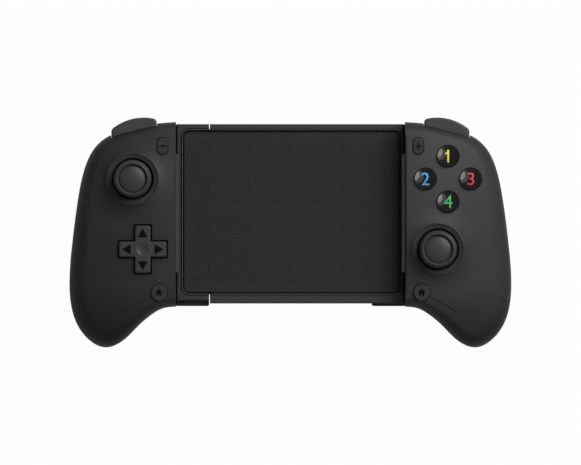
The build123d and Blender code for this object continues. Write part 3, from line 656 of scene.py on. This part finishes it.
# %% Glossy domes
(dome_x, dome_y), plunger_low, dome_top = middle_of("face_button_top")
plunger_radius = 1.6
flange_radius = 5.6
flange_top = 27.9
flange_low = flange_top - 1
dome_radius = 5.0
dome_rise = 1.2
crown_reach = 4.6
dome_edge_z = dome_top - dome_rise
dome_profile = [
    (plunger_radius, plunger_low), (plunger_radius, flange_low), (flange_radius, flange_low),
    (flange_radius, flange_top), (dome_radius, flange_top), (dome_radius, dome_edge_z - 0.4),
    (4.94, dome_edge_z - 0.2), (4.8, dome_edge_z - 0.06),
]
crown_radius = (crown_reach**2 + dome_rise**2) / (2 * dome_rise)
for share in (1.0, 0.93, 0.84, 0.74, 0.62, 0.5, 0.37, 0.24, 0.12, 0.01):
    reach = crown_reach * share
    height = dome_top - crown_radius + math.sqrt(crown_radius**2 - reach**2)
    dome_profile.append((reach, height))
first_dome = turn_profile((dome_x, dome_y), dome_profile)
settle(first_dome, "dome_pattern", 40)
domes = {}
for label in ("top", "left", "right", "bottom"):
    node = f"face_button_{label}"
    (x, y), _, _ = middle_of(node)
    dome = copy_at(first_dome, (x - dome_x, y - dome_y, 0))
    hand_over(dome, f"{node}_dome", gloss_finish, node, True, 40)
    domes[label] = dome
remove(first_dome)
print("crown radius, mm:", round(crown_radius, 2))

# %% [markdown]
# ## Numbers on the domes
#
# Plain numbers stand where such buttons have their marks. Each is moulded through in colour, flush
# with the dome. A text is made a solid, and the part of it that a barely higher dome holds is
# kept, so that its face follows the dome. The font's one is a bare bar, and gets a small flag.

# %% Coloured numbers
number_height = 5.8
number_depth = 0.6
number_rise = 0.05
flag_reach = 1.75
flag_turn = -35


def ink(name, colour):
    """A coloured plastic, duller than the dome."""
    return moulded(name, colour, 0.4, 2.0, 0.002, 0, vary=0.05, **dim)


def solid_digit(digit, x, y):
    """A digit of the wanted height, as a solid that passes through the dome's crown."""
    bpy.ops.object.select_all(action="DESELECT")
    bpy.ops.object.text_add(location=(0, 0, 0))
    mark = bpy.context.object
    mark.data.body = digit
    mark.data.extrude = 0.3
    mark.data.resolution_u = 8
    bpy.ops.object.convert(target="MESH")
    low = [min(v.co[axis] for v in mark.data.vertices) for axis in range(2)]
    high = [max(v.co[axis] for v in mark.data.vertices) for axis in range(2)]
    scale = number_height * MM / (high[1] - low[1])
    mark.scale = (scale, scale, scale)
    middle_x, middle_y = ((a + b) / 2 * scale for a, b in zip(low, high))
    mark.location = (x * MM - middle_x, y * MM - middle_y, (dome_top - number_depth) * MM)
    take(mark)
    bpy.ops.object.transform_apply(location=True, rotation=True, scale=True)
    return mark


def add_flag(mark, x, y):
    """The slanting stroke at the head of a one."""
    high_y = y + number_height / 2 - 0.6
    low_corner = (x - flag_reach, high_y - 0.75, dome_top - 1.2)
    flag = slab(low_corner, (x + 0.2, high_y, dome_top + 0.2))
    edit(flag)
    bpy.ops.transform.rotate(
        value=math.radians(flag_turn),
        orient_axis="Z",
        center_override=(x * MM, high_y * MM, 0),
    )
    take(flag)
    apply_modifier(mark, "BOOLEAN", object=flag, operation="UNION", solver="EXACT")
    remove(flag)


number_marks = {
    "top": ("1", ink("yellow_mark", (0.78, 0.72, 0.10))),
    "left": ("2", ink("blue_mark", (0.10, 0.38, 0.68))),
    "right": ("3", ink("red_mark", (0.68, 0.055, 0.09))),
    "bottom": ("4", ink("green_mark", (0.06, 0.48, 0.15))),
}
for label, (digit, finish) in number_marks.items():
    node = f"face_button_{label}"
    (x, y), _, _ = middle_of(node)
    mark = solid_digit(digit, x, y)
    if digit == "1":
        add_flag(mark, x, y)
    skin = copy_at(domes[label], (0, 0, number_rise))
    apply_modifier(mark, "BOOLEAN", object=skin, operation="INTERSECT", solver="EXACT")
    remove(skin)
    hand_over(mark, f"face_number_{label}", finish, node, False, 40)

# %% [markdown]
# ## Thumb caps
#
# A stick ends in a rubber cap: a low crown inside a groove, a rounded rim, and a side with fine
# flutes for grip. Below it a neck leads to the dome that closes the well. The whole is one lathe
# form, because every part of it runs round the same axis. The flutes are every second face of its
# side, pressed in by an inset.

# %% Caps with fluted sides
flute_count = 96
flute_depth = 0.28
pivot_drop = 16.5
cap_bore = 1.95
cap_neck = 3.6
cap_side_radius = 8.3
dome_arcs = ((9.2, (23, 35, 47, 59, 70, 80)), (10.2, (80, 70, 59, 47, 35, 20.7)))
cap_outline = (
    (cap_neck, 3.8), (3.8, 3.4), (4.3, 3.1), (8.2, 3.1), (8.52, 2.98), (8.7, 2.6),
    (cap_side_radius, 1.4), (8.05, 0.9), (7.82, 0.5), (7.55, 0.18), (7.2, 0), (6.95, 0.04),
    (6.74, 0.26), (6.62, 0.6), (6.55, 1.8), (6.2, 1.8), (6.1, 1.5), (5.9, 1.36), (5.4, 1.15),
    (4.6, 0.88), (3.6, 0.63), (2.5, 0.45), (1.3, 0.34), (0.05, 0.3),
)


def cap_profile(top_z):
    """The cap's half section, from the bore's ceiling round the dome to the crown's middle."""
    pivot_z = top_z - pivot_drop
    steps = [(cap_bore, pivot_z + 11.8), (cap_bore, pivot_z + 5.2), (cap_neck, pivot_z + 5.2)]
    for radius, angles in dome_arcs:
        for turn in map(math.radians, angles):
            steps.append((radius * math.sin(turn), pivot_z + radius * math.cos(turn)))
    return steps + [(radius, top_z - drop) for radius, drop in cap_outline]


def is_flute(face):
    """Every second face of the cap's side."""
    centre = face.center / MM
    aside, along = centre.x - cap_x, centre.y - cap_y
    index = round(math.atan2(along, aside) / (2 * math.pi) * flute_count - 0.5)
    on_side = math.hypot(aside, along) > cap_side_radius
    return on_side and cap_top - 2.8 < centre.z < cap_top - 1.4 and index % 2 == 0


(cap_x, cap_y), _, cap_top = middle_of("left_stick_cap")
cap_pattern = turn_profile((cap_x, cap_y), cap_profile(cap_top), flute_count)
settle(cap_pattern, "cap_pattern", 35)
edit(cap_pattern, is_flute)
bpy.ops.mesh.inset(thickness=0.05 * MM, depth=-flute_depth * MM, use_individual=True)
for side in ("left", "right"):
    node = f"{side}_stick_cap"
    (x, y), _, _ = middle_of(node)
    cap = copy_at(cap_pattern, (x - cap_x, y - cap_y, 0))
    hand_over(cap, f"{side}_thumb_cap", cap_finish, node, True, 35)
remove(cap_pattern)

# %% [markdown]
# ## Rings round the sticks
#
# A satin ring frames each well: a thin raised lip outside, a flat band, and a bore down to the
# dome. It is another lathe form. Its first and last steps meet, and the two discs that close them
# are deleted, so that the ring closes on itself.

# %% Well rings
well_low_z = 27.0
shell_top_z = 30.5
ring_bore = 9.5
ring_seat = 11.3
ring_outline = (
    (ring_seat, 0), (12.15, 0), (12.15, 0.45), (12.05, 0.68), (11.85, 0.78), (11.6, 0.76),
    (11.42, 0.62), (11.35, 0.42), (11.1, 0.34), (9.85, 0.28), (9.6, 0.18), (ring_bore, -0.1),
)
ring_profile = [(ring_bore, well_low_z), (ring_seat, well_low_z)]
ring_profile += [(radius, shell_top_z + rise) for radius, rise in ring_outline]
ring_profile.append((ring_bore, well_low_z))
for side in ("left", "right"):
    node = f"{side}_stick_ring"
    (x, y), _, _ = middle_of(node)
    ring = turn_profile((x, y), ring_profile)
    edit(ring, lambda face: len(face.vertices) > 4)
    bpy.ops.mesh.delete(type="FACE")
    hand_over(ring, f"{side}_well_ring", ring_finish, node, True, 40)

# %% [markdown]
# ## Minus and plus
#
# The symbols on the small buttons are printed: a thin dark layer with clean edges. A picture
# could carry them, but a thin solid stays sharp from close by. Here a square is drawn out to bars
# along two or four directions.

# %% Bars
# Near black: printed symbols, and also painted shade on the floor of the mat's groove.
print_and_shade_finish = moulded(
    "print_and_shade_black", (0.003,) * 3, 0.6, 0.2, 0.004, 0, specular_ior_level=0.05
)
mark_height = 0.06


def bar_mark(node, directions, reach, half):
    """A square in the middle of a button, drawn out along some directions."""
    (x, y), _, top = middle_of(node)
    low_corner = (x - half, y - half, top - mark_height)
    mark = slab(low_corner, (x + half, y + half, top + mark_height))
    for dx, dy in directions:

        def at_end(face):
            centre = face.center / MM
            aside = (centre.x - x) * dy - (centre.y - y) * dx
            return face.normal.x * dx + face.normal.y * dy > 0.9 and abs(aside) < half

        edit(mark, at_end)
        step = (dx * (reach - half) * MM, dy * (reach - half) * MM, 0)
        bpy.ops.mesh.extrude_region_move(TRANSFORM_OT_translate={"value": step})
    take(mark)
    return mark


across = ((-1, 0), (1, 0))
minus_mark = bar_mark("minus_button", across, 1.7, 0.28)
hand_over(minus_mark, "minus_symbol", print_and_shade_finish, "minus_button", False)
plus_mark = bar_mark("plus_button", (*across, (0, 1), (0, -1)), 1.5, 0.26)
hand_over(plus_mark, "plus_symbol", print_and_shade_finish, "plus_button", False)

# %% [markdown]
# ## Star
#
# A star is a regular outline of ten points with every second one pulled in. So it starts as a
# prism of ten sides, and the rule picks its vertices by the angle at which they stand.

# %% Star symbol
star_points = 10
star_radius = 2.1
star_waist = 0.45
star_x, star_y = -60.3, -27.65
_, _, star_top = middle_of("star_button")
low_z, high_z = star_top - mark_height, star_top + mark_height
star_mark = flat_prism((star_x, star_y), star_points, star_radius, low_z, high_z, 0)
take(star_mark)
for vertex in star_mark.data.vertices:
    turn = math.atan2(vertex.co.y / MM - star_y, vertex.co.x / MM - star_x)
    index = round((turn - math.pi / 2) / (2 * math.pi) * star_points)
    vertex.select = index % 2 == 1
for item in (*star_mark.data.edges, *star_mark.data.polygons):
    item.select = False
bpy.ops.object.mode_set(mode="EDIT")
bpy.ops.mesh.select_mode(type="VERT")
star_middle = (star_x * MM, star_y * MM, 0)
bpy.ops.transform.resize(value=(star_waist, star_waist, 1), center_override=star_middle)
bpy.ops.object.mode_set(mode="OBJECT")
hand_over(star_mark, "star_symbol", print_and_shade_finish, "star_button", False)

# %% [markdown]
# ## House
#
# The fourth small button gets a plain little house, as home buttons have. It is a square with a
# flattened triangle as its roof, and a door is cut from its foot.

# %% House symbol
home_x, home_y = -star_x, star_y
roof_radius = 2.1
roof_flatness = 0.62
wall_half = 1.15
door_half = 0.38
_, _, home_top = middle_of("home_button")
low_z, high_z = home_top - mark_height, home_top + mark_height
roof = flat_prism((home_x, home_y + 0.55), 3, roof_radius, low_z, high_z, 0)
edit(roof)
roof_middle = (home_x * MM, (home_y + 0.4) * MM, 0)
bpy.ops.transform.resize(value=(1.0, roof_flatness, 1), center_override=roof_middle)
take(roof)
wall_corner = (home_x + wall_half, home_y + 0.2, high_z)
walls = slab((home_x - wall_half, home_y - 1.6, low_z), wall_corner)
door_corner = (home_x + door_half, home_y - 0.55, high_z + 1)
door = slab((home_x - door_half, home_y - 2.0, low_z - 1), door_corner)
apply_modifier(walls, "BOOLEAN", object=door, operation="DIFFERENCE", solver="EXACT")
remove(door)
apply_modifier(walls, "BOOLEAN", object=roof, operation="UNION", solver="EXACT")
remove(roof)
hand_over(walls, "home_symbol", print_and_shade_finish, "home_button", False)

# %% [markdown]
# ## Arrows of the direction pad
#
# The pad's four arrows are dark inlays, nearly flush with its arms. Each is a prism of three
# sides with a point outwards. They sit in one piece, since one insert carries them all.

# %% Arrow inlays
arrow_foot = 5.6
arrow_length = 3.7
arrow_radius = 2.7
inlay_depth = 0.19
inlay_rise = 0.03
(pad_x, pad_y), _, pad_top = middle_of("direction_pad")
low_z, high_z = pad_top - inlay_depth, pad_top + inlay_rise
reach = arrow_foot + arrow_length / 3
arrows = []
for turn in (0, 90, 180, 270):
    angle = math.radians(turn)
    place = (pad_x + reach * math.cos(angle), pad_y + reach * math.sin(angle))
    arrows.append(flat_prism(place, 3, arrow_radius, low_z, high_z, turn - 90))
pad_arrows = join(arrows)
hand_over(pad_arrows, "pad_arrow_inlays", print_and_shade_finish, "direction_pad", False)

# %% [markdown]
# ## Raised pattern of the mat
#
# The phone lies on rubber with a fine hatch in low relief, which keeps it from sliding. Bump alone
# would stay flat from the side, so the hatch is modelled. A block of four small fields, one of
# bars each way, one of dots and one with a ring, is made once, and two Array modifiers repeat it
# over the mat.

# %% Mat relief
mat_low, mat_high = (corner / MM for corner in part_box("phone_mat"))
bead_height = 0.4
mat_face_z = mat_high.z - bead_height
cell = 4.66
relief = 0.07
margin = 1.4
columns = int((mat_high.x - mat_low.x - 2 * margin) / (2 * cell))
rows = int((mat_high.y - mat_low.y - 2 * margin) / (2 * cell))
start_x = (mat_low.x + mat_high.x) / 2 - columns * cell + cell / 2
start_y = (mat_low.y + mat_high.y) / 2 - rows * cell + cell / 2
floor_z, crest_z = mat_face_z - 0.05, mat_face_z + relief
pitch = cell / 3
bar_half, bar_reach = 0.36, 2.1
dot_radius = 0.55
circle_radius, circle_width = 1.9, 0.5


def mat_bar(x, y, half_x, half_y):
    """One low bar of the hatch."""
    return slab((x - half_x, y - half_y, floor_z), (x + half_x, y + half_y, crest_z))


figures = []
for step in (-1, 0, 1):
    aside = start_x + cell + step * pitch
    figures.append(mat_bar(start_x, start_y + step * pitch, bar_reach, bar_half))
    figures.append(mat_bar(aside, start_y + cell, bar_half, bar_reach))
    for other in (-1, 0, 1):
        place = (aside, start_y + other * pitch)
        figures.append(flat_prism(place, 4, dot_radius, floor_z, crest_z, 45))
circle = flat_prism((start_x, start_y + cell), 20, circle_radius, floor_z, crest_z, 0)
edit(circle, lambda face: face.normal.z > 0.9)
bpy.ops.mesh.inset(thickness=circle_width * MM, depth=0)
bpy.ops.transform.translate(value=(0, 0, -1.5 * relief * MM))
take(circle)
mat_relief = join(figures + [circle])
for axis, count in ((0, columns), (1, rows)):
    shift = [0, 0, 0]
    shift[axis] = 2 * cell * MM
    apply_modifier(
        mat_relief,
        "ARRAY",
        count=count,
        use_relative_offset=False,
        use_constant_offset=True,
        constant_offset_displace=shift,
    )
hand_over(mat_relief, "mat_relief", rubber_finish, "phone_mat", False)
print("mat blocks:", columns, "x", rows)

# %% [markdown]
# ## Bead round the mat
#
# A rounded bead runs round the mat's edge with a groove inside it, so that the phone's
# corners stay clear of the rim. The bead is lighter than the mat, a painted highlight along its
# crest, and the floor of the groove is near black, painted shade. It could be swept along the
# edge, but steps of inset from one plate with rounded corners follow those corners by themselves.
# Only the four upright edges are bevelled, so the rule picks edges that have no length seen from
# above.

# %% Bead and groove
# Lighter than the mat: a painted highlight along the bead's crest.
bead_highlight_finish = moulded("bead_rubber_painted_highlight", black(0.048), 0.5, 0.22, 0.006, 0.15, **satin)
bead_corner = 3.5
bead_lap = 0.02
crest_z, groove_z = mat_high.z + 0.08, mat_high.z + bead_lap
bead_steps = (
    (0.1, crest_z), (0.3, crest_z), (0.1, groove_z), (0.78, groove_z),
    (0.12, mat_face_z - bead_lap),
)
face_z = mat_high.z - bead_height / 2
low_corner = (mat_low.x - bead_lap, mat_low.y - bead_lap, mat_face_z - bead_height / 2)
bead = slab(low_corner, (mat_high.x + bead_lap, mat_high.y + bead_lap, face_z))


def is_upright(edge):
    first, second = (bead.data.vertices[i].co for i in edge.vertices)
    return (first.xy - second.xy).length < bead_lap * MM


edit_edges(bead, is_upright)
bpy.ops.mesh.bevel(offset=bead_corner * MM, segments=10, affect="EDGES")
edit(bead, lambda face: face.normal.z > 0.9)
for width, next_z in bead_steps:
    bpy.ops.mesh.inset(thickness=width * MM, depth=(next_z - face_z) * MM)
    face_z = next_z
hand_over(bead, "mat_bead", bead_highlight_finish, "phone_mat", False, 20)
# The groove's floor takes the near-black print colour as painted shade.
bead.data.materials.append(print_and_shade_finish.material)
for face in bead.data.polygons:
    in_groove = abs(face.center.z / MM - groove_z) < bead_lap
    if in_groove and face.normal.z > 0.9:
        face.material_index = 1
print("dark groove faces:", sum(face.material_index for face in bead.data.polygons))

# %% [markdown]
# ## Dust lips
#
# Each grip's inner wall carries two thin lips that reach under the tray's edge and keep dust out
# of the slit. They are slabs with softened edges.

# %% Lips in the slits
lip_inner_x, lip_outer_x = 51.9, 53.2
lip_low_z, lip_high_z = 8.6, 9.6
lip_spans = (("upper", 35.9, 49.6), ("lower", -33.9, -22.4))
for side, sign in (("left", -1), ("right", 1)):
    low_x, high_x = sorted((sign * lip_inner_x, sign * lip_outer_x))
    for label, low_y, high_y in lip_spans:
        lip = slab((low_x, low_y, lip_low_z), (high_x, high_y, lip_high_z))
        edit(lip)
        bpy.ops.mesh.bevel(offset=0.12 * MM, segments=2, affect="EDGES")
        name, node = f"{side}_dust_lip_{label}", f"{side}_slider"
        hand_over(lip, name, tray_finish, node, False)

# %% [markdown]
# ## Cross-headed screws
#
# The shells and the bridge are closed by small pan-head screws, seen from behind. One is modelled
# for each length: a turned head and shank, with a cross cut into the head by two bars. Copies
# stand at every place.

# %% Screws
screw_head = 1.4
shank_radius = 1.0
cross_reach, cross_half = 1.25, 0.24


def screw_pattern(length):
    """A screw with its seat at zero height, its head below and its tip above."""
    profile = [(0.9, -screw_head), (1.4, -1.36), (1.75, -1.1), (1.9, -0.7), (1.9, 0)]
    profile += [(shank_radius, 0), (shank_radius, length - 0.8), (0.35, length)]
    piece = turn_profile((0, 0), profile, 32)
    for half_x, half_y in ((cross_half, cross_reach), (cross_reach, cross_half)):
        cutter = slab((-half_x, -half_y, -2), (half_x, half_y, -0.55))
        apply_modifier(piece, "BOOLEAN", object=cutter, operation="DIFFERENCE", solver="EXACT")
        remove(cutter)
    return piece


shell_screw_places = ((57.8, 6.5), (57.8, 31.8), (89.5, 9.0), (84.0, -37.0))
screw_sets = {
    "left_shell_screws": [(-x, y) for x, y in shell_screw_places],
    "right_shell_screws": shell_screw_places,
    "bridge_screws": [(x, 8.5) for x in (-31.0, -16.0, 16.0, 31.0)],
}
for node, places in screw_sets.items():
    _, low_z, high_z = middle_of(node)
    seat_z = low_z + screw_head
    pattern = screw_pattern(high_z - low_z - screw_head)
    group = join([copy_at(pattern, (x, y, seat_z)) for x, y in places])
    remove(pattern)
    hand_over(group, f"{node}_crossed", steel_finish, node, True, 35)

# %% [markdown]
# ## Floor and air
#
# The floor is a plain pale disc just under the grips, and it is clear from below, so that the
# back can be looked at too. A background gets white by its own colour and not by more light on
# the object. So the floor shows white to the camera and to glass, and in part to reflections, and
# keeps a small share of its own shading, which holds the shadow. The air round it is white to the
# camera and a weak grey light to the object.

# %% Floor and air
white_share = 0.975
mirror_share = 0.2
floor_radius = 3.0
floor_level = -0.3
air_strength = 0.27


def studio_white(name):
    """A pale surface that shows white to the camera, shaded a little, and clear from below."""
    finish = Finish(name, (0.5, 0.5, 0.5), 0.9)
    camera_ray, mirror_ray, glass_ray = (
        finish.output("ShaderNodeLightPath", f"Is {kind} Ray")
        for kind in ("Camera", "Glossy", "Transmission")
    )
    seen = camera_ray.above(glass_ray).above(mirror_ray * mirror_share)
    white = finish.node("ShaderNodeEmission", {}, {"Color": (1, 1, 1, 1), "Strength": 1.0})
    shaded = Wire(finish, finish.shader.outputs[0])
    above = finish.node("ShaderNodeMixShader", {}, {0: seen * white_share, 1: shaded, 2: white})
    behind = finish.output("ShaderNodeNewGeometry", "Backfacing")
    clear = finish.node("ShaderNodeBsdfTransparent", {}, {})
    mixed = finish.node("ShaderNodeMixShader", {}, {0: behind, 1: above, 2: clear})
    finish.feed(finish.tree.nodes["Material Output"].inputs["Surface"], mixed)
    return finish


bpy.ops.object.select_all(action="DESELECT")
bpy.ops.mesh.primitive_circle_add(
    vertices=96, radius=floor_radius, fill_type="NGON", location=(0, 0, floor_level * MM)
)
floor = bpy.context.object
floor.name = "studio_floor"
paint(floor, studio_white("studio_white"))

world = bpy.data.worlds.new("studio_air")
bpy.context.scene.world = world
world.use_nodes = True
air = world.node_tree.nodes["Background"]
air.inputs["Color"].default_value = (1, 1, 1, 1)
ray = world.node_tree.nodes.new("ShaderNodeLightPath")
level = world.node_tree.nodes.new("ShaderNodeMapRange")
level.inputs["To Min"].default_value = air_strength
level.inputs["To Max"].default_value = 1.0
world.node_tree.links.new(ray.outputs["Is Camera Ray"], level.inputs["Value"])
world.node_tree.links.new(level.outputs["Result"], air.inputs["Strength"])
print("floor radius, m:", floor_radius, "air strength:", air_strength)

# %% [markdown]
# ## Lamps
#
# A product studio lights black plastic with few, large and soft lamps. The key lamp stands to the
# upper right. Two lamps at the left do what a studio's reflectors do: they lay one small clean
# reflection on each glossy dome, and one lights the right clamp pad. The fourth lights the back
# from under the floor, which it passes through, and leaves out the pieces that the front shows.

# %% Lamps and what they light


def soft_lamp(name, place, size, power):
    """A round soft lamp aimed at the middle of the controller."""
    lamp_data = bpy.data.lights.new(name, "AREA")
    lamp_data.shape = "DISK"
    lamp_data.size = size
    lamp_data.energy = power
    lamp = bpy.data.objects.new(name, lamp_data)
    lamp.visible_camera = False
    bpy.context.scene.collection.objects.link(lamp)
    lamp.location = place
    aim = Vector((0, 0, 0.02)) - Vector(place)
    lamp.rotation_euler = aim.to_track_quat("-Z", "Y").to_euler()
    return lamp


def linked_group(name, members, state):
    """A collection that a lamp is linked to, or kept from."""
    group = bpy.data.collections.new(name)
    for member in members:
        group.objects.link(member)
    for member in group.collection_objects:
        member.light_linking.link_state = state
    return group


key_lamp = soft_lamp("key_lamp", (0.85, 0.75, 1.05), 1.3, 25)
low_lamp = soft_lamp("side_lamp_low", (-0.98, 0.42, 0.66), 1.15, 13)
high_lamp = soft_lamp("side_lamp_high", (-0.8, 0.3, 0.98), 1.6, 7)
back_lamp = soft_lamp("back_lamp", (0.6, -0.7, -1.1), 1.3, 25)

glossy = list(domes.values())
seen_in_front = [
    nodes[f"{side}_{name}"]
    for side in ("left", "right")
    for name in ("front_shell", "bumper", "slider")
]
seen_in_front.append(nodes["bridge_plate"])
clamp_and_domes = glossy + [nodes["right_clamp_pad"]]
for lamp, name, members, state in (
    (key_lamp, "not_lit_by_key", glossy, "EXCLUDE"),
    (low_lamp, "lit_by_low_lamp", glossy, "INCLUDE"),
    (high_lamp, "lit_by_high_lamp", clamp_and_domes, "INCLUDE"),
    (back_lamp, "not_lit_from_behind", seen_in_front, "EXCLUDE"),
):
    lamp.light_linking.receiver_collection = linked_group(name, members, state)
clear_floor = linked_group("clear_to_back_lamp", [floor], "EXCLUDE")
back_lamp.light_linking.blocker_collection = clear_floor
print("lamps:", len(bpy.data.lights))

# %% [markdown]
# ## Camera
#
# The photograph looks straight down on the front with no visible perspective, so the camera
# stands far away with a very long lens. Its distance follows from the width of the picture and
# the real size of one pixel at the height of the front.

# %% Long lens
millimetres_per_pixel = 0.46
picture_width = 581
view_plane_z = 22.0
view_middle = (0.05, -0.1)
camera_data = bpy.data.cameras.new("long_lens")
camera_data.lens = 600
camera_data.sensor_width = 36
camera_data.clip_start = 0.1
camera_data.clip_end = 20
camera = bpy.data.objects.new("long_lens", camera_data)
bpy.context.scene.collection.objects.link(camera)
half_width = picture_width * millimetres_per_pixel / 2
distance = half_width * camera_data.lens / (camera_data.sensor_width / 2)
camera.location = Vector((*view_middle, view_plane_z + distance)) * MM
bpy.context.scene.camera = camera
bpy.context.scene.view_settings.view_transform = "Standard"
print("camera height, mm:", round(view_plane_z + distance))
